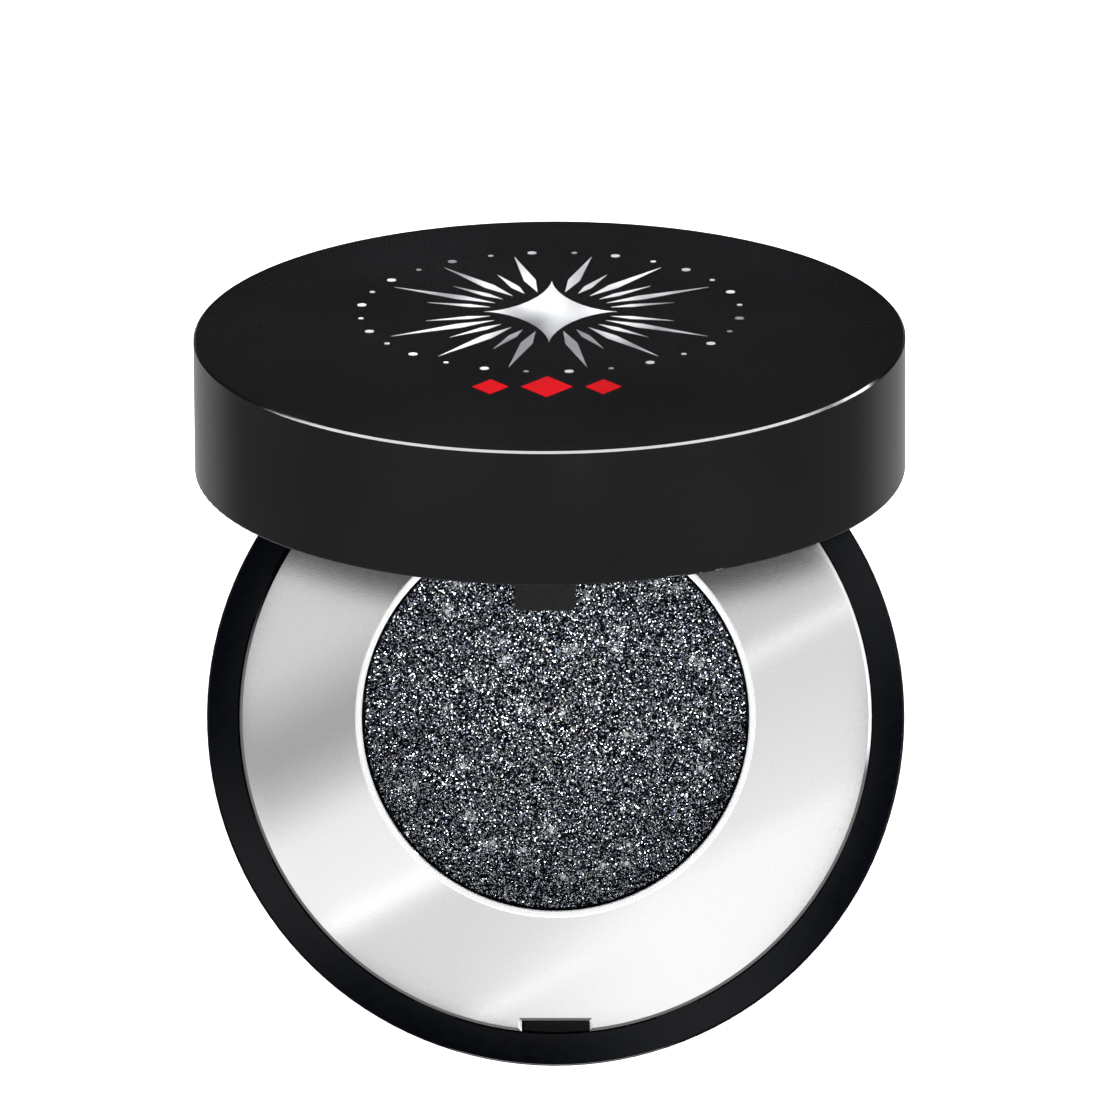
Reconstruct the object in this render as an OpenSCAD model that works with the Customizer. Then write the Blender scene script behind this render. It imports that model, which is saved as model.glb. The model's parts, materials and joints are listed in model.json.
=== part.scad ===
// Round single eyeshadow compact: a black base with a metallised plate and one pressed
// pan, and a deep black lid that turns on a steel pin at the back.
// Millimetres. The base stands on z = 0 with its centre at the origin, the hinge is at +Y
// and the latch at -Y. Lid parts are drawn closed, then turned open about the hinge axis.

/* [Compact] */
// Outer diameter of the base and the lid
outer_d = 47; // [46:0.5:50]
// Height of the base, from its foot to the parting plane
base_h = 6.4; // [6.2:0.1:7.5]
// Height of the lid, from the parting plane to its top
lid_h = 9.2; // [8.5:0.1:12]
// Angle of the lid from closed, as modelled
lid_open = 70.4; // [0:0.1:120]
// Largest angle of the lid, where its heel meets the base
lid_open_max = 120; // [110:1:130]

/* [Walls] */
// Wall of the base
base_wall = 1.5; // [1.3:0.1:1.7]
// Floor of the base
floor_t = 1.2; // [1:0.1:1.3]
// Width of the black rim seen round the plate
rim_w = 2.1; // [1.9:0.05:2.4]
// Wall and top of the lid shell
lid_wall = 1.2; // [1:0.1:1.3]
// Bevel of the lid's top edge
lid_bevel = 0.14; // [0.1:0.02:0.3]

/* [Pan] */
// Outer diameter of the pan
pan_d = 27; // [26.5:0.5:28]
// Height of the pan
pan_h = 3.3; // [2.8:0.1:3.4]
// Thickness of the pan's sheet metal
pan_t = 0.36; // [0.3:0.02:0.5]
// Depth of the powder below the pan's rim
powder_drop = 0.05; // [0:0.05:0.3]

/* [Plate] */
// Thickness of the metallised plate
plate_t = 1.2; // [1:0.1:1.4]
// Height of the plate above the black rim
plate_proud = 0.2; // [0.1:0.05:0.3]
// Bevel of the plate's outer edge and of its latch notch
plate_bevel = 0.22; // [0.1:0.02:0.3]
// Diameter of the plate's window over the powder
window_d = 26.1; // [24:0.1:26.4]
// Width of the polished bead round the window
window_bead_w = 0.44; // [0.36:0.02:0.8]

/* [Mirror] */
// Diameter of the mirror in the lid
mirror_d = 38; // [34:0.5:38.5]
// Thickness of the mirror glass
mirror_t = 1; // [0.8:0.1:1.2]

/* [Hinge] */
// Diameter of the steel hinge pin
pin_d = 1.2; // [1:0.1:1.4]
// Diameter of the hinge knuckles
knuckle_d = 3; // [2.8:0.1:3.2]
// Width of the lid's knuckle, between the two knuckles of the base
lid_knuckle_w = 9.8; // [8:0.2:10]
// Width of each knuckle of the base
base_knuckle_w = 3.3; // [2.8:0.1:3.5]

/* [Latch] */
// Width of the lid's latch tab
tab_w = 4; // [3:0.1:5]
// Reach of the latch tab below the parting plane
tab_reach = 2.5; // [2.2:0.05:2.6]
// Width of the notch in the plate for the tab
notch_w = 4.55; // [3.6:0.05:5.6]

/* [Hidden] */
$fn = 96;

outer_r = outer_d / 2;
slip = 0.05;           // gap between parts of one body that slide together
run = 0.15;            // gap round a knuckle that turns past another part
over = 1;              // how far a cutter runs past the face that it cuts

// Levels of the base, from the foot up
label_drop = 0.3;      // depth of the label's recess in the foot
label_t = 0.12;
foot_round = 0.8;
floor_top = label_drop + floor_t;
plate_top = base_h + plate_proud;
plate_low = plate_top - plate_t;
lip_t = 0.35;          // the plate's lip over the pan's rim
lip_gap = 0.02;        // between that lip and the pan
bead_rise = 0.12;      // how far the polished bead stands above the plate
lip_under = plate_top - lip_t;
pan_top = lip_under - lip_gap;
pan_low = pan_top - pan_h;
tape_t = 0.15;         // double-sided tape under the pan
seat_top = pan_low - tape_t;

// Radii of the base, from the outside in
lip_r = outer_r - rim_w;              // inner edge of the black rim
lip_low = base_h - 1.55;              // underside of the rim's inner lip
plate_r = lip_r - 0.1;
skirt_r = plate_r - 1.1;              // outside of the plate's snap skirt
skirt_t = 1;
skirt_low = plate_low - 2;
bead_z = skirt_low + 0.6;             // height of the skirt's snap bead
bead_r = 0.3;          // how far the bead stands out, and half its height
lug_r = skirt_r + 0.1;                // inner face of the base's snap lugs
lug_w = 3;
lug_count = 8;
label_r = outer_r - 5.2;
pan_r = pan_d / 2;
well_t = 1;                           // wall of the pan's well
well_gap = 0.15;
rib_t = 0.8;

// Hinge axis, in the plane x = 0
hinge_out = 0.6;       // outside the round wall
hinge_drop = 0.8;      // below the parting plane
hinge_y = outer_r + hinge_out;
hinge_z = base_h - hinge_drop;
knuckle_r = knuckle_d / 2;
clear_r = knuckle_r + run;
lid_half = lid_knuckle_w / 2;
base_in = lid_half + run;             // inner end of each base knuckle
base_out = base_in + base_knuckle_w;  // outer end
pin_half = base_out - 0.2;

// The heel on the lid's knuckle that meets the base's wall at the largest angle
heel_reach = knuckle_r + 0.5;
heel_half = 0.35;
heel_w = 3;
heel_gap = 0.03;
heel_corner = norm([heel_reach, heel_half]);
heel_angle = lid_open_max - 90 + atan(heel_half / heel_reach)
    - asin((hinge_out - heel_gap) / heel_corner);

// Levels and radii of the lid, closed
shut_z = base_h + slip;               // the lid's lower edge
lid_top = shut_z + lid_h;
shell_in = outer_r - lid_wall;
frame_r = shell_in - slip;
frame_skirt_t = 0.8;
flange_z = base_h + 0.9;              // the frame's face round the mirror
mirror_z = flange_z + 0.1;            // the mirror's face
foam_t = 0.2;                         // tape behind the mirror
pocket_z = mirror_z + mirror_t + foam_t;
web_t = 1;
web_top = pocket_z + web_t;
pocket_r = mirror_d / 2 + 0.1;
peg_r = 0.8;
peg_h = 3;
peg_at = 17;           // distance of the pegs from the centre
peg_count = 4;
boss_wall = 0.8;
arm_top = base_h + 1.6;
tab_out = plate_r - 0.1;              // front face of the latch tab; its corners reach further
tab_t = 0.55;
tab_in = tab_out - tab_t;             // its back face, which carries the snap nose
tab_low = base_h - tab_reach;
tab_corner = 0.45;                    // rounding of the tab's two lower corners
nose_w = 2.6;
nose_half = 0.3;                      // half the height of the tab's snap nose
nose_z = plate_low - nose_half - slip;
notch_y = tab_in - 0.18;              // inner edge of the plate's notch, the latch's catch
nose_in = notch_y + 0.05;             // the snap's bite is left out, so the nose just clears

// ---- small helpers ----

// A tube about Z from z0 to z1
module ring(r_in, r_out, z0, z1) {
    rotate_extrude() translate([r_in, z0]) square([r_out - r_in, z1 - z0]);
}

// Cutter that rounds a profile's outer top corner at [r, z]
module round_top(r, z, e) {
    translate([r - e, z - e]) difference() {
        square(e + over);
        circle(e);
    }
}

// Cutter that bevels a profile's outer top corner at [r, z]
module bevel_top(r, z, e) {
    polygon([[r - e - over, z + over], [r + over, z - e - over], [r + over, z + over]]);
}

// Cutter that rounds a profile's outer bottom corner at [r, z]
module round_low(r, z, e) {
    translate([r - e, z + e]) mirror([0, 1]) difference() {
        square(e + over);
        circle(e);
    }
}

// A bar along X on the hinge axis, from x0 to x1
module hinge_bar(r, x0, x1) {
    translate([x0, hinge_y, hinge_z]) rotate([0, 90, 0]) cylinder(r = r, h = x1 - x0);
}

// A profile drawn in Y and Z, drawn out along X from x0 to x1
module along_x(x0, x1) {
    translate([x0, 0, 0]) rotate([90, 0, 90]) linear_extrude(x1 - x0) children();
}

// Turns lid parts from closed to the angle lid_open
module opened() {
    translate([0, hinge_y, hinge_z]) rotate([-lid_open, 0, 0])
        translate([0, -hinge_y, -hinge_z]) children();
}

// ---- base ----

module base_profile() {
    difference() {
        union() {
            square([outer_r, floor_top]);
            translate([outer_r - base_wall, 0]) square([base_wall, base_h]);
            translate([lip_r, lip_low]) square([rim_w, base_h - lip_low]);
        }
        translate([-over, -over]) square([label_r + 0.2 + over, label_drop + over]);
        round_low(outer_r, 0, foot_round);
        round_top(outer_r, base_h, 0.18);
    }
}

// Blocks inside the wall that carry the plate and take its snap bead
module snap_lugs() {
    for (i = [0 : lug_count - 1])
        rotate((i + 0.5) * 360 / lug_count)
            translate([lug_r, -lug_w / 2, floor_top - 0.1])
                cube([outer_r - lug_r - 0.7, lug_w, plate_low - floor_top + 0.1]);
}

// Wall round the pan, the six ribs that it stands on and the lower rings that stiffen them
module pan_well() {
    well_r = pan_r + well_gap;
    ring(well_r, well_r + well_t, floor_top - 0.1, plate_low);
    for (r = [3, 7.5, pan_r - 1.2]) ring(r, r + rib_t, floor_top - 0.1, seat_top - 0.2);
    for (a = [0 : 60 : 300])
        rotate(a) translate([3.2, -rib_t / 2, floor_top - 0.1])
            cube([well_r - 3, rib_t, seat_top - floor_top + 0.1]);
}

module base_knuckles() {
    for (x = [-base_out, base_in])
        along_x(x, x + base_knuckle_w) {
            translate([hinge_y, hinge_z]) circle(knuckle_r);
            polygon([
                [outer_r - 2, 2], [hinge_y - 0.9, hinge_z - 1.9], [hinge_y + 0.2, hinge_z - 1.3],
                [hinge_y, hinge_z], [hinge_y - 1.1, base_h], [outer_r - 2, base_h]
            ]);
        }
}

// Groove in the lugs that the plate's snap bead drops into
module bead_groove() {
    reach = bead_r + 0.1;
    polygon([
        [skirt_r, bead_z - reach], [skirt_r + reach, bead_z], [skirt_r, bead_z + reach]
    ]);
}

module base_shell() {
    color("#12161d") difference() {
        union() {
            rotate_extrude() base_profile();
            snap_lugs();
            pan_well();
            base_knuckles();
        }
        hinge_bar(clear_r, -base_in, base_in);
        hinge_bar(pin_d / 2, -base_out - over, base_out + over);
        rotate_extrude() bead_groove();
    }
}

module base_label() {
    color("silver") ring(0, label_r, label_drop - label_t, label_drop);
}

module hinge_pin() {
    color("lightsteelblue") translate([-pin_half, hinge_y, hinge_z]) rotate([0, 90, 0])
        rotate_extrude() polygon([
            [0, 0], [pin_d / 2 - 0.12, 0], [pin_d / 2, 0.12],
            [pin_d / 2, 2 * pin_half - 0.12], [pin_d / 2 - 0.12, 2 * pin_half], [0, 2 * pin_half]
        ]);
}

// ---- pan, powder and plate ----

module pan_adhesive() {
    color("ivory") ring(0, pan_r - 1, seat_top, pan_low);
}

module pan() {
    corner = 0.5;
    color("gainsboro") rotate_extrude() difference() {
        translate([0, pan_low]) square([pan_r, pan_h]);
        translate([-over, pan_low + pan_t]) square([pan_r - pan_t + over, pan_h]);
        round_low(pan_r, pan_low, corner);
    }
}

module powder_cake() {
    color("#2b3038") rotate_extrude() difference() {
        translate([0, pan_low + pan_t])
            square([pan_r - pan_t, pan_h - pan_t - powder_drop]);
        round_top(pan_r - pan_t, pan_top - powder_drop, 0.12);
    }
}

module plate_profile() {
    window_r = window_d / 2;
    bead_out = window_r + window_bead_w;
    bead_top = plate_top + bead_rise;
    bead_corner = 0.08;
    polygon([
        [pan_r + 0.1, plate_low], [pan_r + 0.1, lip_under], [window_r, lip_under],
        [window_r, bead_top - bead_corner], [window_r + bead_corner, bead_top],
        [bead_out - bead_corner, bead_top], [bead_out, plate_top],
        [plate_r - plate_bevel, plate_top], [plate_r, plate_top - plate_bevel],
        [plate_r, plate_low], [skirt_r, plate_low], [skirt_r, bead_z + bead_r],
        [skirt_r + bead_r, bead_z], [skirt_r, bead_z - bead_r], [skirt_r - 0.1, skirt_low],
        [skirt_r - skirt_t, skirt_low], [skirt_r - skirt_t, plate_low]
    ]);
}

// Cutter for the latch notch, with its three bevelled edges
module plate_notch() {
    side = plate_bevel * sqrt(2);
    depth = plate_r - notch_y;
    translate([-notch_w / 2, -notch_y - depth - over, plate_low - over])
        cube([notch_w, depth + over, plate_t + 2 * over]);
    for (s = [-1, 1])
        translate([s * notch_w / 2, -notch_y - depth / 2 - over, plate_top]) rotate([0, 45, 0])
            cube([side, depth + 2 * over, side], center = true);
    translate([0, -notch_y, plate_top]) rotate([45, 0, 0])
        cube([notch_w + side, side, side], center = true);
}

module inner_plate() {
    color("whitesmoke") difference() {
        rotate_extrude() plate_profile();
        plate_notch();
    }
}

// ---- lid ----

module frame_profile() {
    groove_in = pocket_r + 0.8;
    difference() {
        union() {
            translate([0, pocket_z]) square([frame_r, web_t]);
            translate([pocket_r, flange_z]) square([frame_r - pocket_r, web_top - flange_z]);
            translate([frame_r - frame_skirt_t, shut_z])
                square([frame_skirt_t, web_top - shut_z]);
        }
        translate([groove_in, flange_z + 1])
            square([frame_r - frame_skirt_t - groove_in, web_top - flange_z]);
    }
}

module peg_places() {
    for (i = [0 : peg_count - 1])
        rotate((i + 0.5) * 360 / peg_count) translate([peg_at, 0, 0]) children();
}

// Outline of the latch tab seen from the front, with round lower corners
module tab_front() {
    half = tab_w / 2;
    for (s = [-1, 1]) translate([s * (half - tab_corner), tab_low + tab_corner]) circle(tab_corner);
    translate([-half + tab_corner, tab_low]) square([tab_w - 2 * tab_corner, tab_reach]);
    translate([-half, tab_low + tab_corner]) square([tab_w, tab_reach + 1]);
}

// The hook at the front: it drops through the plate's notch and snaps under its inner edge
module latch_tab() {
    root_z = flange_z + 0.5;
    intersection() {
        along_x(-tab_w / 2, tab_w / 2)
            translate([-tab_out, tab_low]) square([tab_t, root_z - tab_low]);
        rotate([90, 0, 0]) linear_extrude(outer_r) tab_front();
    }
    along_x(-nose_w / 2, nose_w / 2) polygon([
        [-tab_in - 0.1, nose_z - nose_half], [-tab_in - 0.1, nose_z + nose_half],
        [-nose_in, nose_z]
    ]);
}

module lid_knuckle() {
    arm_in = frame_r - 0.7;
    along_x(-lid_half, lid_half) {
        translate([hinge_y, hinge_z]) circle(knuckle_r);
        polygon([
            [arm_in, shut_z], [hinge_y - 0.9, shut_z], [hinge_y, hinge_z],
            [hinge_y + 0.8, hinge_z + 1.25], [outer_r - 0.55, arm_top], [arm_in, arm_top]
        ]);
    }
    along_x(-heel_w / 2, heel_w / 2)
        translate([hinge_y, hinge_z]) rotate(heel_angle)
            translate([knuckle_r - 0.3, -heel_half])
                square([heel_reach - knuckle_r + 0.3, 2 * heel_half]);
}

module lid_frame() {
    color("#1d1b1d") opened() difference() {
        union() {
            rotate_extrude() frame_profile();
            peg_places() translate([0, 0, web_top - 0.1]) cylinder(r = peg_r, h = peg_h + 0.1);
            latch_tab();
            lid_knuckle();
        }
        hinge_bar(pin_d / 2 + slip, -lid_half - over, lid_half + over);
    }
}

module shell_profile() {
    difference() {
        translate([0, shut_z]) square([outer_r, lid_h]);
        translate([-over, shut_z - over]) square([shell_in + over, lid_h - lid_wall + over]);
        bevel_top(outer_r, lid_top, lid_bevel);
        round_low(outer_r, shut_z, 0.12);
    }
}

module lid_shell() {
    color("#1b191b") opened() difference() {
        union() {
            rotate_extrude() shell_profile();
            peg_places() translate([0, 0, web_top])
                cylinder(r = peg_r + boss_wall, h = lid_top - lid_wall - web_top + 0.1);
        }
        peg_places() translate([0, 0, web_top - over]) cylinder(r = peg_r, h = peg_h + 0.3 + over);
        translate([-lid_half - 0.1, outer_r - 3, base_h - over])
            cube([lid_knuckle_w + 0.2, 4, arm_top - base_h + 0.1 + over]);
        hinge_bar(clear_r, -base_out - run, base_out + run);
    }
}

module mirror_adhesive() {
    color("dimgray") opened() ring(0, mirror_d / 2 - 1.5, pocket_z - foam_t, pocket_z);
}

module mirror_disc() {
    chamfer = 0.25;
    half = mirror_d / 2;
    color("lightblue") opened() rotate_extrude() polygon([
        [0, mirror_z], [half - chamfer, mirror_z], [half, mirror_z + chamfer],
        [half, mirror_z + mirror_t], [0, mirror_z + mirror_t]
    ]);
}

base_shell();
base_label();
pan_adhesive();
pan();
powder_cake();
inner_plate();
hinge_pin();
lid_frame();
lid_shell();
mirror_adhesive();
mirror_disc();  // mirror
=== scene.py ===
"""The looks of a round eyeshadow compact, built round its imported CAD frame.

Lengths are in metres where a comment doesn't say millimetres. Pieces on the lid are drawn with
the lid closed and then turned open about the hinge, as the CAD is.
"""

import json
import math
import random

import bmesh
import bpy
from mathutils import Matrix, Vector, noise


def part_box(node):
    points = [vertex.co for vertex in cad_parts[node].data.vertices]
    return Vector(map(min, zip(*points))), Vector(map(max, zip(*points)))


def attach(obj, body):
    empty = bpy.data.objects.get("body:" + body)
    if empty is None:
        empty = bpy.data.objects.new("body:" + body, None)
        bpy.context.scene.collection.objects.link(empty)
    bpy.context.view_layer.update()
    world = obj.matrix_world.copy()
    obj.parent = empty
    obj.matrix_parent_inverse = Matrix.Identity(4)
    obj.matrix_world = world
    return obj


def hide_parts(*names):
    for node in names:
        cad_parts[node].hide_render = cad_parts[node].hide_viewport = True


MM = 0.001
SEED = 11

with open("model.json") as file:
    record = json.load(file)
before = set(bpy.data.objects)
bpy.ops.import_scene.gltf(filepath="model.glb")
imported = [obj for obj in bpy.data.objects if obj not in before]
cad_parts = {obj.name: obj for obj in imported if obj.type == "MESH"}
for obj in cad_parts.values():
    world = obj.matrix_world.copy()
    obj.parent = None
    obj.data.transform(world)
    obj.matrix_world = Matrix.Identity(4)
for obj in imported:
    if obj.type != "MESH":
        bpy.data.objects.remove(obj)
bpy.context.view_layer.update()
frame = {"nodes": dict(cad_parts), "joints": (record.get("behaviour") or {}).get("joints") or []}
nodes = frame["nodes"]
hinge = frame["joints"][0]
hinge_at = Vector(hinge["pos_m"])
lid_open = -math.radians(hinge["range_deg"][0])
OPENED = (
    Matrix.Translation(hinge_at)
    @ Matrix.Rotation(-lid_open, 4, "X")
    @ Matrix.Translation(-hinge_at)
)


def closed_box(node):
    """Lowest and highest corner of a lid node, with the lid closed."""
    back = OPENED.inverted()
    corners = [back @ v.co for v in nodes[node].data.vertices]
    low = Vector(min(c[k] for c in corners) for k in range(3))
    high = Vector(max(c[k] for c in corners) for k in range(3))
    return low, high


def radii(node, above):
    """Smallest and largest distance from the axis of a node's points that are higher than above."""
    found = [math.hypot(v.co.x, v.co.y) for v in nodes[node].data.vertices if v.co.z > above]
    return min(found), max(found)


BEAD_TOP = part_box("inner_plate")[1].z
PLATE_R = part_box("inner_plate")[1].x
BASE_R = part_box("base_shell")[1].x
PLATE_TOP = max(v.co.z for v in nodes["inner_plate"].data.vertices if v.co.xy.length > 0.9 * PLATE_R)
WINDOW_R, BEAD_R = radii("inner_plate", BEAD_TOP - 0.1 * MM)
POWDER_LOW, POWDER_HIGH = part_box("powder_cake")
POWDER_R = POWDER_HIGH.x
LID_TOP = closed_box("lid_shell")[1].z


# ---- shader helpers ----

RANGE_SOCKETS = ("From Min", "From Max", "To Min", "To Max")


class Shader:
    """A material with one Principled shader, and short calls that add nodes to it."""

    def __init__(self, name, **values):
        self.material = bpy.data.materials.new(name)
        self.material.use_nodes = True
        self.tree = self.material.node_tree
        self.surface = self.tree.nodes["Principled BSDF"]
        for socket, value in values.items():
            self.surface.inputs[socket.replace("_", " ")].default_value = value

    def add(self, kind, **values):
        node = self.tree.nodes.new("ShaderNode" + kind)
        for key, value in values.items():
            if hasattr(node, key):
                setattr(node, key, value)
            else:
                node.inputs[key.replace("_", " ")].default_value = value
        return node

    def link(self, out, into):
        self.tree.links.new(out, into)

    def place(self, stretch=(1, 1, 1), turn=(0, 0, 0)):
        """The object's own coordinates, stretched and turned."""
        mapping = self.add("Mapping")
        mapping.inputs["Scale"].default_value = stretch
        mapping.inputs["Rotation"].default_value = turn
        self.link(self.add("TexCoord").outputs["Object"], mapping.inputs["Vector"])
        return mapping.outputs["Vector"]

    def noise(self, per_mm, detail=3.0, place=None):
        node = self.add("TexNoise", Scale=per_mm / MM, Detail=detail)
        self.link(place or self.place(), node.inputs["Vector"])
        return node.outputs["Fac"]

    def cells(self, per_mm):
        node = self.add("TexVoronoi", Scale=per_mm / MM)
        self.link(self.place(), node.inputs["Vector"])
        return node

    def calc(self, operation, a, *others):
        """A Math node on a socket and others, each a socket or a number."""
        node = self.add("Math", operation=operation)
        for into, value in zip(node.inputs, (a, *others)):
            if isinstance(value, (int, float)):
                into.default_value = value
            else:
                self.link(value, into)
        return node.outputs["Value"]

    def length(self, out):
        node = self.add("VectorMath", operation="LENGTH")
        self.link(out, node.inputs[0])
        return node.outputs["Value"]

    def mix(self, share, a, b, **values):
        """Mixes colour b into colour a, by a share that is a socket or a number."""
        node = self.add("Mix", data_type="RGBA", **values)
        if isinstance(share, (int, float)):
            node.inputs["Factor"].default_value = share
        else:
            self.link(share, node.inputs["Factor"])
        self.link(a, node.inputs["A"])
        self.link(b, node.inputs["B"])
        return node.outputs["Result"]

    def span(self, out, low, high, start=0.0, end=1.0):
        """Maps out from start..end to low..high."""
        node = self.add("MapRange")
        for socket, value in zip(RANGE_SOCKETS, (start, end, low, high)):
            node.inputs[socket].default_value = value
        self.link(out, node.inputs["Value"])
        return node.outputs["Result"]

    def ramp(self, out, stops):
        """A colour ramp over out, from (position, colour or grey level) stops."""
        node = self.add("ValToRGB")
        points = node.color_ramp.elements
        while len(points) < len(stops):
            points.new(0.5)
        for point, (at, colour) in zip(points, stops):
            point.position = at
            point.color = (*colour, 1) if isinstance(colour, tuple) else (colour,) * 3 + (1,)
        self.link(out, node.inputs["Fac"])
        return node.outputs["Color"]

    def bump(self, out, depth_mm):
        node = self.add("Bump", Strength=1.0, Distance=depth_mm * MM)
        self.link(out, node.inputs["Height"])
        self.link(node.outputs["Normal"], self.surface.inputs["Normal"])

    def rough(self, out):
        self.link(out, self.surface.inputs["Roughness"])

    def colour(self, out):
        self.link(out, self.surface.inputs["Base Color"])


def glow(name, radiance, base=0.0, roughness=1.0):
    """A material that gives off even white light, on a grey base."""
    s = Shader(name, Roughness=roughness, Emission_Strength=radiance, Emission_Color=(1, 1, 1, 1))
    s.surface.inputs["Base Color"].default_value = (base, base, base, 1)
    return s.material


def scaled(tint, share):
    return tuple(c * share for c in tint)


def paint(name, material):
    """Gives a CAD node its material."""
    slots = nodes[name].data.materials
    slots.clear()
    slots.append(material)


# ---- materials ----


def black_gloss(name, tint, gloss, shine):
    """Polished black moulding: a deep colour that drifts a little and faint flow waviness."""
    s = Shader(name, Roughness=gloss, Specular_IOR_Level=shine)
    s.colour(s.ramp(s.noise(0.06, 2.0), [(0.3, scaled(tint, 0.75)), (0.7, scaled(tint, 1.3))]))
    s.rough(s.span(s.noise(1.6, 4.0), gloss * 0.85, gloss * 1.25, 0.3, 0.7))
    s.bump(s.noise(0.9, 2.0), 0.0012)
    return s.material


def moulded_black(name, tint):
    """Spark-eroded black moulding with a fine grain."""
    s = Shader(name, Specular_IOR_Level=0.16)
    s.colour(s.ramp(s.noise(0.3), [(0.3, scaled(tint, 0.8)), (0.7, scaled(tint, 1.25))]))
    s.rough(s.span(s.noise(5.0), 0.32, 0.46, 0.3, 0.7))
    s.bump(s.noise(9.0, 4.0), 0.006)
    return s.material


def satin_metal(name):
    """Vacuum-metallised plastic under satin lacquer; the bead round the window is matte white, a
    painted highlight.
    """
    s = Shader(name)
    grain = s.noise(7.0, 5.0)
    edge = 0.02 * MM
    # painted highlight: inside this radius the plate is hardly metallic, so the bead shows as even
    # matte white
    rim = BEAD_R + 0.08 * MM
    metallic = s.span(s.length(s.place((1, 1, 0))), 0.05, 1.0, rim - edge, rim + edge)
    s.link(metallic, s.surface.inputs["Metallic"])
    s.colour(s.ramp(grain, [(0.25, (0.93, 0.93, 0.935)), (0.75, (0.98, 0.98, 0.98))]))
    s.rough(s.span(s.noise(3.0, 4.0), 0.05, 0.06, 0.3, 0.7))
    s.bump(grain, 0.0002)
    return s.material


def drawn_aluminium(name):
    """Bright sheet drawn into a tray, with the faint circles of the draw."""
    s = Shader(name, Metallic=1.0)
    rings = s.noise(2.0, 3.0, s.place((1, 1, 8)))
    s.colour(s.ramp(rings, [(0.3, 0.9), (0.7, 0.99)]))
    s.rough(s.span(rings, 0.22, 0.32, 0.3, 0.7))
    s.bump(rings, 0.001)
    return s.material


def pressed_powder(name):
    """Blue-black pressed powder: fine grains of pigment between the flakes."""
    s = Shader(name, Roughness=0.9, Specular_IOR_Level=0.03)
    specks = [
        (0.0, (0.0004, 0.0004, 0.0008)),
        (0.5, (0.0015, 0.002, 0.0035)),
        (0.85, (0.012, 0.014, 0.02)),
        (1.0, (0.07, 0.08, 0.1)),
    ]
    speck = s.ramp(s.cells(5.5).outputs["Color"], specks)
    grain = s.ramp(s.noise(3.5, 5.0), [(0.32, 0.35), (0.7, 1.3)])
    s.colour(s.mix(1.0, speck, grain, blend_type="MULTIPLY"))
    s.bump(s.noise(6.0, 5.0), 0.05)
    return s.material


def glitter(name):
    """Metallised film flakes; each flake's tint is in its own colour attribute."""
    s = Shader(name, Metallic=1.0, Roughness=0.24)
    tint = s.add("Attribute", attribute_name="tint")
    s.colour(tint.outputs["Color"])
    return s.material


def drawn_steel(name):
    """Wire with draw lines along its length."""
    s = Shader(name, Metallic=1.0)
    lines = s.noise(1.2, 4.0, s.place((0.05, 9, 9)))
    s.colour(s.ramp(lines, [(0.3, 0.45), (0.7, 0.68)]))
    s.rough(s.span(lines, 0.25, 0.42, 0.3, 0.7))
    s.bump(lines, 0.002)
    return s.material


def silvered_glass(name):
    """A clean mirror with the slightest unevenness of float glass."""
    s = Shader(name, Metallic=1.0)
    s.colour(s.ramp(s.noise(0.05), [(0.3, (0.84, 0.87, 0.87)), (0.7, (0.87, 0.895, 0.9))]))
    s.rough(s.span(s.noise(0.4, 2.0), 0.012, 0.03, 0.3, 0.7))
    return s.material


def film_label(name):
    """A blank metallic-grey film label."""
    s = Shader(name, Metallic=0.55)
    fibre = s.noise(4.0, 4.0, s.place((0.35, 3, 1)))
    s.colour(s.ramp(fibre, [(0.3, (0.42, 0.42, 0.43)), (0.7, (0.56, 0.56, 0.57))]))
    s.rough(s.span(fibre, 0.34, 0.46, 0.3, 0.7))
    s.bump(fibre, 0.003)
    return s.material


def tape(name, tint):
    """Foam or tissue tape: a soft open grain."""
    s = Shader(name, Roughness=0.9)
    pores = s.cells(4.0)
    s.colour(s.ramp(pores.outputs["Distance"], [(0.0, scaled(tint, 0.5)), (0.6, tint)]))
    s.bump(pores.outputs["Distance"], 0.04)
    return s.material


def hot_foil(name, stops, metallic, specular):
    """Hot-stamped foil, brushed enough to scatter; its colour runs in soft bands over the lid, which on
    silver are a painted reflection.
    """
    s = Shader(name, Metallic=metallic, Specular_IOR_Level=specular)
    bands = s.noise(0.22, 1.0, s.place((1.0, 0.45, 0.45), (0, 0, math.radians(28))))
    s.colour(s.ramp(bands, stops))
    s.rough(s.span(s.noise(2.0, 3.0), 0.36, 0.5, 0.3, 0.7))
    s.bump(s.noise(3.0, 3.0), 0.0015)
    return s.material


# ---- mesh helpers ----


def new_object(name, data):
    piece = bpy.data.objects.new(name, data)
    bpy.context.scene.collection.objects.link(piece)
    return piece


def round_points(r, sides, start=0.0):
    """The corners of a regular polygon of radius r, the first one at angle start."""
    turns = [start + 2 * math.pi * i / sides for i in range(sides)]
    return [(r * math.cos(a), r * math.sin(a)) for a in turns]


def lathe(name, profile, sides):
    """A closed mesh turned about Z from (radius, height) points. A radius of 0 is a pole."""
    b = bmesh.new()
    rings = []
    for r, z in profile:
        corners = round_points(r, sides) if r > 0 else [(0, 0)]
        rings.append([b.verts.new((x, y, z)) for x, y in corners])
    for low, high in zip(rings, rings[1:]):
        for i in range(sides):
            j = (i + 1) % sides
            face = [low[i % len(low)], low[j % len(low)], high[j % len(high)], high[i % len(high)]]
            b.faces.new(list(dict.fromkeys(face)))
    bmesh.ops.recalc_face_normals(b, faces=b.faces)
    mesh = bpy.data.meshes.new(name)
    b.to_mesh(mesh)
    b.free()
    return mesh


def smooth(mesh):
    for face in mesh.polygons:
        face.use_smooth = True


# ---- powder ----

CROWN = 0.12 * MM
WALL_DIP = 0.1 * MM
POWDER_GRAIN = 0.05 * MM
# coarse and fine grain, per millimetre
COARSE, FINE = 1.6, 5
POWDER_RINGS = 70
POWDER_SIDES = 220
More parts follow.
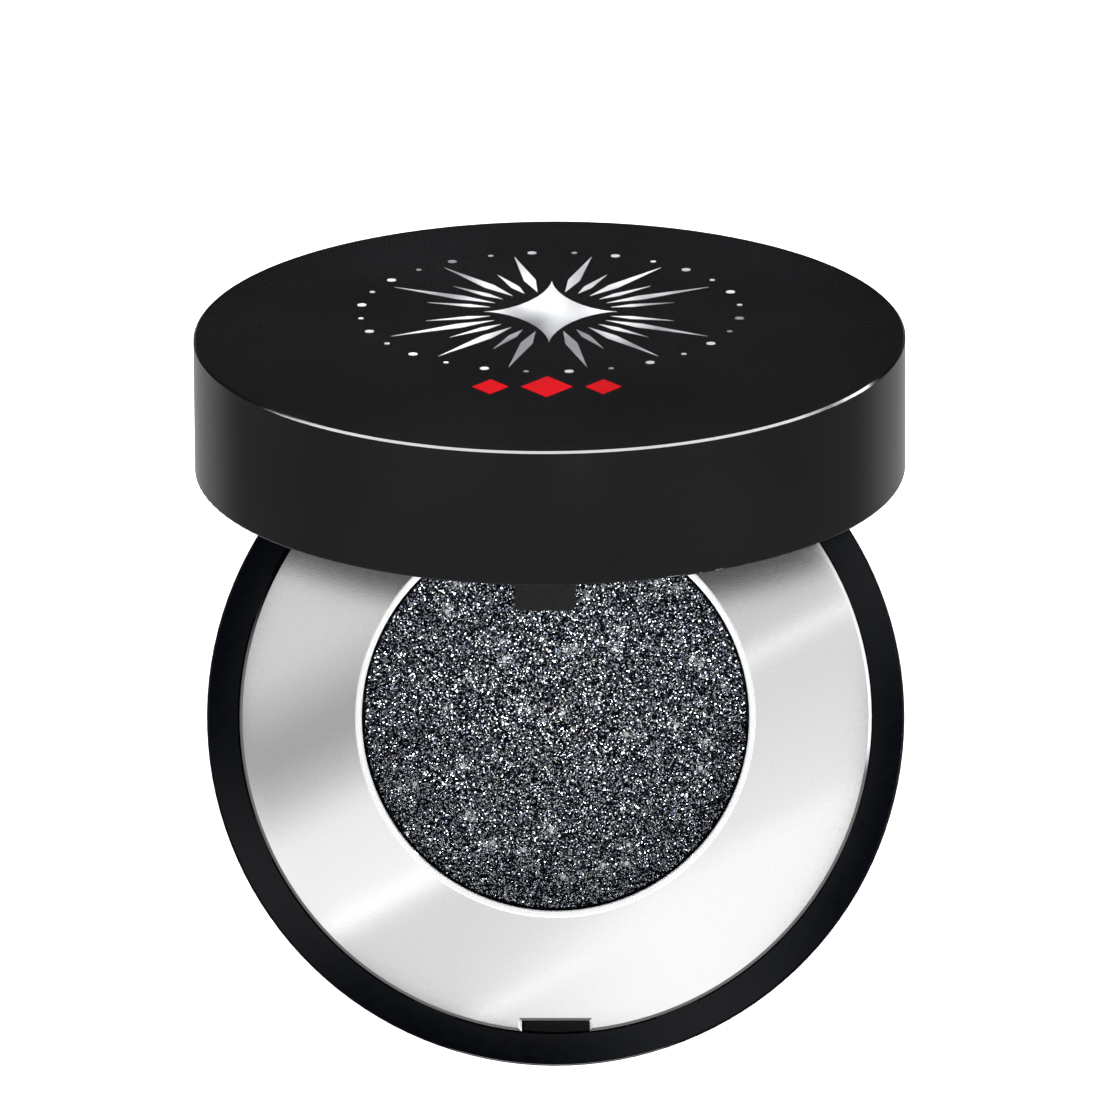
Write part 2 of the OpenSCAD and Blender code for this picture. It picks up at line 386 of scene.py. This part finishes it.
# the powder's surface is a separate piece, this far inside the cake that it stands for
POWDER_INSET = 0.01 * MM
POWDER_SIDE_TOP = POWDER_HIGH.z - 0.5 * MM


def powder_height(x, y):
    """Height of the powder's surface: a low crown, pressed a little deeper at the pan's wall."""
    share = min(math.hypot(x, y) / POWDER_R, 1.0)
    place = Vector((x, y, 0)) / MM
    grain = noise.fractal(place * COARSE, 1.0, 2.0, 3) + 0.5 * noise.noise(place * FINE)
    wall = share**10
    crown = CROWN * share**2 + WALL_DIP * wall
    return POWDER_HIGH.z - crown + POWDER_GRAIN * grain * (1 - wall)


def make_powder(material):
    low = POWDER_LOW.z + POWDER_INSET
    reach = POWDER_R - POWDER_INSET
    profile = [(0, low), (reach, low), (reach, POWDER_SIDE_TOP)]
    profile += [(reach * (1 - i / POWDER_RINGS), POWDER_HIGH.z) for i in range(POWDER_RINGS + 1)]
    mesh = lathe("powder", profile, POWDER_SIDES)
    for vertex in mesh.vertices:
        if vertex.co.z > POWDER_SIDE_TOP + POWDER_INSET:
            vertex.co.z = powder_height(vertex.co.x, vertex.co.y)
    smooth(mesh)
    mesh.materials.append(material)
    piece = new_object("powder_surface", mesh)
    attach(piece, "base")
    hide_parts("powder_cake")


# ---- glitter in the powder ----

FLAKES = 50000
FLAKE_SMALL, FLAKE_LARGE = 0.03 * MM, 0.066 * MM
# how far a flake lies above the powder: the first, and up to the second more
FLAKE_LIFT, FLAKE_LIFT_MORE = 0.01 * MM, 0.05 * MM
FLAKE_TILT, FLAKE_TILT_MAX = math.radians(24), math.radians(58)
# partly painted shadow: no flakes this close to the window's edge, so a dark margin shows where the
# lip's shadow falls; the glitter also thins at the pan's wall
BARE_EDGE = 0.16 * MM
# painted shade on the flakes: their brightness in the middle, and how much of it is lost at the
# window's edge
BRIGHT, EDGE_SHADE = 1.12, 0.36
# each tint with its weight in the draw
FLAKE_TINTS = [
    ((0.9, 0.93, 0.96), 0.32),
    ((0.38, 0.42, 0.48), 0.22),
    ((0.09, 0.11, 0.15), 0.3),
    ((0.7, 0.68, 0.65), 0.08),
    ((0.36, 0.35, 0.45), 0.1),
]
# a glint is one large bright flake with a cluster of small level ones round it
GLINTS = 40
GLINT_CORE = 0.17 * MM
GLINT_CORE_TILT = math.radians(2)
GLINT_FLAKES = 60
GLINT_SPREAD = 0.3 * MM
GLINT_SIZE = FLAKE_SMALL * 1.1
GLINT_TILT = math.radians(6)
GLINT_TINT = (0.9, 0.92, 0.96)


def flake_points(centre, radius, sides, tilt, heading, spin):
    """Corners of one thin flake, tilted from level towards heading."""
    lean = Matrix.Rotation(heading, 3, "Z") @ Matrix.Rotation(tilt, 3, "Y")
    return [centre + lean @ Vector((x, y, 0)) for x, y in round_points(radius, sides, spin)]


def scatter_flakes():
    """Every flake as (centre, radius, sides, tilt, heading, spin, tint)."""
    pick = random.Random(SEED)
    tints = [t for t, _ in FLAKE_TINTS]
    shares = [w for _, w in FLAKE_TINTS]
    flakes = []

    def drop(x, y, radius, tilt, tint):
        # flakes stop short of the window's edge, a painted shadow of the lip
        reach = WINDOW_R - BARE_EDGE - radius
        if math.hypot(x, y) > reach:
            return
        z = powder_height(x, y) + FLAKE_LIFT + FLAKE_LIFT_MORE * pick.random()
        sides = pick.choice((4, 5, 6, 6))
        heading, spin = (pick.uniform(0, 2 * math.pi) for _ in range(2))
        # painted shade: each flake's tint grows darker towards the window's edge
        painted_vignette = BRIGHT - EDGE_SHADE * (x * x + y * y) / WINDOW_R**2
        tint = tuple(min(1, c) for c in scaled(tint, painted_vignette))
        flakes.append((Vector((x, y, z)), radius, sides, tilt, heading, spin, tint))

    for _ in range(FLAKES):
        r = WINDOW_R * math.sqrt(pick.random())
        a = pick.uniform(0, 2 * math.pi)
        size = FLAKE_SMALL + (FLAKE_LARGE - FLAKE_SMALL) * pick.random() ** 1.5
        tilt = min(abs(pick.gauss(0, FLAKE_TILT)), FLAKE_TILT_MAX)
        drop(r * math.cos(a), r * math.sin(a), size, tilt, pick.choices(tints, shares)[0])
    for _ in range(GLINTS):
        r = (WINDOW_R - MM) * math.sqrt(pick.random())
        a = pick.uniform(0, 2 * math.pi)
        x, y = r * math.cos(a), r * math.sin(a)
        drop(x, y, GLINT_CORE, GLINT_CORE_TILT, (1, 1, 1))
        for _ in range(GLINT_FLAKES):
            off = [pick.gauss(0, GLINT_SPREAD) for _ in range(2)]
            tilt = abs(pick.gauss(0, GLINT_TILT))
            drop(x + off[0], y + off[1], GLINT_SIZE, tilt, GLINT_TINT)
    return flakes


def make_flakes(material):
    points, faces, tints = [], [], []
    for centre, radius, sides, tilt, heading, spin, tint in scatter_flakes():
        start = len(points)
        points += flake_points(centre, radius, sides, tilt, heading, spin)
        faces.append(range(start, start + sides))
        tints.append(tint)
    mesh = bpy.data.meshes.new("flakes")
    mesh.from_pydata(points, [], faces)
    layer = mesh.color_attributes.new("tint", "FLOAT_COLOR", "CORNER")
    for face, tint in zip(mesh.polygons, tints):
        for corner in face.loop_indices:
            layer.data[corner].color = (*tint, 1)
    mesh.materials.append(material)
    piece = new_object("powder_glitter", mesh)
    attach(piece, "base")


# ---- foil ornament on the lid ----

# how far the foil stands above the lid's top, and how far its underside lies below it
FOIL, FOIL_ROOT = 0.02 * MM, 0.005 * MM
BURST_AT = (0.0, 4.6 * MM)
# millimetres from here to the diamonds: half sizes, and distances from the ornament's centre
STAR_WIDE, STAR_TALL = 4.4, 6.4
RAYS = 28
RAY_ROOT = 4.1
# each as (outer end, half width)
RAY_LONG, RAY_SHORT = (11.6, 0.4), (8.4, 0.28)
DOTS_WIDE, DOTS_TALL = 12.6, 12.2
DOT_LARGE, DOT_SMALL = 0.3, 0.18
LARGE_DIAMOND, SMALL_DIAMOND = (1.7, 2.1), (1.2, 1.5)
ACCENT_ROW = -10.6 * MM
ACCENT_STEP = 3.7 * MM


def sparkle(a, b, power=3.2, steps=48):
    """A four-pointed star with hollow sides, from its half width a and half height b."""
    points = []
    for i in range(steps):
        t = 2 * math.pi * i / steps
        c, s = math.cos(t), math.sin(t)
        x = math.copysign(abs(c) ** power, c) * a
        y = math.copysign(abs(s) ** power, s) * b
        points.append((x, y))
    return points


def ray(r0, r1, half, angle):
    """A thin ray from radius r0 to r1 that is widest a third of the way out."""
    along, across = (math.cos(angle), math.sin(angle)), (-math.sin(angle), math.cos(angle))
    mid = r0 + (r1 - r0) / 3
    outline = [(r0, 0), (mid, -half), (r1, 0), (mid, half)]
    return [(u * along[0] + w * across[0], u * along[1] + w * across[1]) for u, w in outline]


def diamond(a, b):
    return [(a, 0), (0, b), (-a, 0), (0, -b)]


def stamp(name, outlines, material):
    """Thin foil pieces on the lid's top: outlines in millimetres, each with its centre in metres."""
    b = bmesh.new()
    for outline, (cx, cy) in outlines:
        rings = []
        for z in (LID_TOP - FOIL_ROOT, LID_TOP + FOIL):
            rings.append([b.verts.new((cx + x * MM, cy + y * MM, z)) for x, y in outline])
        b.faces.new(rings[1])
        b.faces.new(list(reversed(rings[0])))
        for i in range(len(outline)):
            j = (i + 1) % len(outline)
            b.faces.new((rings[0][i], rings[0][j], rings[1][j], rings[1][i]))
    bmesh.ops.recalc_face_normals(b, faces=b.faces)
    mesh = bpy.data.meshes.new(name)
    b.to_mesh(mesh)
    b.free()
    mesh.transform(OPENED)
    mesh.materials.append(material)
    piece = new_object(name, mesh)
    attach(piece, "lid")


def silver_outlines():
    """A sparkle, long and short rays by turns with four left out, and a ring of two sizes of dot."""
    cx, cy = BURST_AT
    shapes = [(sparkle(STAR_WIDE, STAR_TALL), BURST_AT)]
    for i in range(RAYS):
        if i % 7:
            reach, half = RAY_SHORT if i % 2 else RAY_LONG
            shapes.append((ray(RAY_ROOT, reach, half, 2 * math.pi * i / RAYS), BURST_AT))
    for i in range(RAYS):
        a = 2 * math.pi * (i + 0.5) / RAYS
        at = (cx + DOTS_WIDE * MM * math.cos(a), cy + DOTS_TALL * MM * math.sin(a))
        shapes.append((round_points(DOT_LARGE if i % 2 else DOT_SMALL, 20), at))
    return shapes


# ---- stage ----

TABLE_R = 2.0
TABLE_RADIANCE = 0.86
BACKDROP_R = 2.05


def make_stage():
    """A white table that lights the object, and a white backdrop that only the camera sees."""
    bpy.ops.mesh.primitive_circle_add(vertices=96, radius=TABLE_R, fill_type="NGON")
    floor = bpy.context.object
    floor.name = "table"
    floor.data.materials.append(glow("table_white", TABLE_RADIANCE, base=0.9, roughness=0.9))
    floor.visible_glossy = False
    bpy.ops.mesh.primitive_uv_sphere_add(segments=48, ring_count=24, radius=BACKDROP_R)
    dome = bpy.context.object
    dome.name = "backdrop"
    dome.data.materials.append(glow("backdrop_white", 1.0))
    dome.visible_glossy = False
    dome.visible_diffuse = False
    dome.visible_shadow = False


CARD_HEIGHT = 150 * MM
CARD_SIDE = 112 * MM
CARD_CENTRE = (-2.3 * MM, -1.2 * MM)
CARD_RADIANCE = 2.0
BAND_ANGLE = math.radians(28)
# the card's left and right side: even panels, a dark gap and narrow strips, as (millimetres, radiance)
BANDS_LEFT = [
    (-26, 1.0), (-18, 0.78), (-17.2, 1.25), (-16.5, 0.76), (-7.5, 0.7), (-6, 1.3),
    (-5.2, 0.93), (1, 0.88), (4, 0.52), (6.7, 0.36), (8.5, 0.4), (13, 0.66),
]
BANDS_RIGHT = [
    (-26, 1.0), (-15.5, 1.0), (-14, 0.84), (-3.8, 0.69), (-2.9, 1.15), (-2.1, 0.62), (19, 0.7),
]
# the two sides pass over into each other up to this far from the middle
SIDES_MEET = 7 * MM
# a soft dark margin on the card along the lid's lower edge, which bows away from the middle
LID_SHADE_FROM = 8.6 * MM
LID_SHADE_BOW = 0.0093 / MM
LID_SHADE_DEEP = 2.1 * MM
LID_SHADE = [(0.0, 0.1), (0.4, 0.32), (1.0, 1.0)]
# round the bands, soft lobes for the black rim to show
RIM_LOBES = 4
RIM_LOBE_AT = math.radians(-62)
RIM_LOBE = [(0.0, 0.0), (0.4, 0.04), (1.0, 0.5)]
RIM_START, RIM_FULL = 23.7 * MM, 24.2 * MM


def card_material():
    """Slanting bands, darker under the lid, with soft lobes round them for the black rim."""
    s = Shader("card_bands", Roughness=1.0, Base_Color=(0, 0, 0, 1))
    across = s.add("SeparateXYZ")
    s.link(s.place(turn=(0, 0, -BAND_ANGLE)), across.inputs["Vector"])
    flat = s.add("SeparateXYZ")
    s.link(s.place(), flat.inputs["Vector"])
    x, y = flat.outputs["X"], flat.outputs["Y"]

    def bands(table):
        first, last = table[0][0], table[-1][0]
        share = s.span(across.outputs["Y"], 0, 1, first * MM, last * MM)
        stops = [((at - first) / (last - first), level / CARD_RADIANCE) for at, level in table]
        return s.ramp(share, stops)

    plate = s.mix(s.span(x, 0, 1, -SIDES_MEET, SIDES_MEET), bands(BANDS_LEFT), bands(BANDS_RIGHT))
    lid_edge = s.calc("MULTIPLY_ADD", s.calc("MULTIPLY", x, x), LID_SHADE_BOW, LID_SHADE_FROM)
    clear = s.span(s.calc("SUBTRACT", lid_edge, y), 0, 1, 0, LID_SHADE_DEEP)
    plate = s.mix(1.0, plate, s.ramp(clear, LID_SHADE), blend_type="MULTIPLY")
    phase = s.calc("MULTIPLY_ADD", s.calc("ARCTAN2", y, x), RIM_LOBES, -RIM_LOBES * RIM_LOBE_AT)
    lobes = s.ramp(s.span(s.calc("COSINE", phase), 0, 1, -1, 1), RIM_LOBE)
    outside = s.span(s.length(s.place()), 0, 1, RIM_START, RIM_FULL)
    s.link(s.mix(outside, plate, lobes), s.surface.inputs["Emission Color"])
    s.surface.inputs["Emission Strength"].default_value = CARD_RADIANCE
    return s.material


def make_card():
    """A soft light card close above the object, which the metallised plate and the rim show."""
    bpy.ops.mesh.primitive_plane_add(size=CARD_SIDE, location=(*CARD_CENTRE, CARD_HEIGHT))
    card = bpy.context.object
    card.name = "light_card"
    card.data.materials.append(card_material())
    card.visible_camera = False
    card.visible_shadow = False


# the ribbon's distance from the lid and half its width, in metres
RIBBON_FAR = 0.4
RIBBON_HALF = 0.03
# degrees round the lid from its front, and the step between the ribbon's points
RIBBON_ENDS = (-50, 65)
RIBBON_STEP = 5
RIBBON_RADIANCE = 18


def make_ribbon():
    """A ribbon of light that follows the mirrored directions of the bevel round the lid's top."""
    turn = OPENED.to_3x3()
    points = []
    for degrees in range(RIBBON_ENDS[0], RIBBON_ENDS[1] + 1, RIBBON_STEP):
        a = math.radians(degrees)
        out = Vector((math.sin(a), -math.cos(a), 0))
        normal = turn @ (out + Vector((0, 0, 1))).normalized()
        seen = 2 * normal.z * normal - Vector((0, 0, 1))
        at = OPENED @ (out * BASE_R + Vector((0, 0, LID_TOP))) + seen * RIBBON_FAR
        wide = seen.cross(Vector((1, 0, 0))).normalized() * RIBBON_HALF
        points += [at - wide, at + wide]
    faces = [(i, i + 1, i + 3, i + 2) for i in range(0, len(points) - 2, 2)]
    mesh = bpy.data.meshes.new("edge_ribbon")
    mesh.from_pydata(points, [], faces)
    mesh.materials.append(glow("ribbon_glow", RIBBON_RADIANCE))
    ribbon = new_object("edge_ribbon", mesh)
    ribbon.visible_camera = False
    ribbon.visible_shadow = False


KEY_AT = (0, -0.95, 0.45)
KEY_SIZE = (0.6, 0.36)
KEY_WATTS = 13.5


def area_light(name, at, target, size, power):
    light = bpy.data.lights.new(name, "AREA")
    light.shape = "RECTANGLE"
    light.size, light.size_y = size
    light.energy = power
    lamp = new_object(name, light)
    lamp.location = at
    lamp.rotation_euler = (Vector(target) - Vector(at)).to_track_quat("-Z", "Y").to_euler()


def make_world():
    """A dim studio: light above and under the table's edge, haze in front and a window at the right."""
    world = bpy.data.worlds.new("studio")
    bpy.context.scene.world = world
    world.use_nodes = True
    tree = world.node_tree
    add, link = tree.nodes.new, tree.links.new
    split = add("ShaderNodeSeparateXYZ")
    link(add("ShaderNodeTexCoord").outputs["Generated"], split.inputs["Vector"])

    def span(out, start, end, low, high):
        """Eases from low to high while out goes from start to end."""
        node = add("ShaderNodeMapRange")
        node.interpolation_type = "SMOOTHSTEP"
        for socket, value in zip(RANGE_SOCKETS, (start, end, low, high)):
            node.inputs[socket].default_value = value
        link(out, node.inputs["Value"])
        return node.outputs["Result"]

    def join(kind, a, b):
        node = add("ShaderNodeMath")
        node.operation = kind
        link(a, node.inputs[0])
        link(b, node.inputs[1])
        return node.outputs["Value"]

    x, y, z = (split.outputs[axis] for axis in "XYZ")
    table = join("MULTIPLY", span(z, -0.5, -0.85, 0, 0.25), span(y, 0.2, 0.5, 1, 0.1))
    above = join("MULTIPLY", span(z, 0.0, 0.6, 0, 0.35), span(y, -0.35, 0.1, 0.15, 1))
    haze = span(y, 0.1, 0.4, 0.17, 0)
    window = join("MULTIPLY", span(x, 0.78, 0.92, 0, 1), span(y, -0.2, -0.08, 0, 1))
    window = join("MULTIPLY", window, span(z, -0.3, -0.15, 0, 0.95))
    level = join("ADD", join("ADD", table, above), join("ADD", haze, window))
    back = tree.nodes["Background"]
    link(level, back.inputs["Color"])
    back.inputs["Strength"].default_value = 1.0


# ---- camera ----

VIEW_DISTANCE = 1.25
FIELD_WIDTH = 74.07 * MM
VIEW_TILT = math.radians(0.93)
VIEW_CENTRE = Vector((-0.37 * MM, 11.25 * MM, PLATE_TOP - 0.2 * MM))


def make_camera():
    data = bpy.data.cameras.new("camera")
    data.sensor_width = 36
    data.lens = data.sensor_width * VIEW_DISTANCE / FIELD_WIDTH
    data.clip_end = 10
    camera = new_object("camera", data)
    back = Vector((math.sin(VIEW_TILT), 0, math.cos(VIEW_TILT)))
    camera.location = VIEW_CENTRE + back * VIEW_DISTANCE
    camera.rotation_euler = (0, VIEW_TILT, 0)
    bpy.context.scene.camera = camera


# ---- everything together ----

paint("lid_shell", black_gloss("lid_gloss", (0.0057, 0.0053, 0.006), 0.1, 0.5))
paint("base_shell", black_gloss("base_gloss", (0.0006, 0.0011, 0.0026), 0.08, 0.2))
paint("lid_frame", moulded_black("frame_moulding", (0.0025, 0.0024, 0.0025)))
paint("inner_plate", satin_metal("plate_satin"))
paint("pan", drawn_aluminium("pan_aluminium"))
paint("hinge_pin", drawn_steel("pin_steel"))
paint("mirror", silvered_glass("mirror_silver"))
paint("base_label", film_label("label_film"))
paint("pan_adhesive", tape("pan_tape", (0.6, 0.55, 0.42)))
paint("mirror_adhesive", tape("mirror_foam", (0.03, 0.03, 0.032)))

make_powder(pressed_powder("powder_black"))
make_flakes(glitter("flake_film"))

# the silver foil's bands, from dark grey to white, are a painted reflection
silver_reflection_bands = [(0.36, (0.26, 0.26, 0.28)), (0.5, (0.6, 0.61, 0.63)), (0.62, (0.97, 0.97, 0.98))]
silver = hot_foil("foil_silver", silver_reflection_bands, 0.35, 0.4)
stamp("foil_burst", silver_outlines(), silver)
red_bands = [(0.3, (0.37, 0.002, 0.005)), (0.7, (0.46, 0.002, 0.006))]
red = hot_foil("foil_red", red_bands, 0.1, 0.03)
accents = [(diamond(*LARGE_DIAMOND), (0, ACCENT_ROW))]
accents += [(diamond(*SMALL_DIAMOND), (side * ACCENT_STEP, ACCENT_ROW)) for side in (-1, 1)]
stamp("foil_accent", accents, red)

make_stage()
make_card()
make_world()
make_camera()
make_ribbon()
area_light("front_key", KEY_AT, (0, 0, 0), KEY_SIZE, KEY_WATTS)
bpy.context.scene.view_settings.view_transform = "Standard"
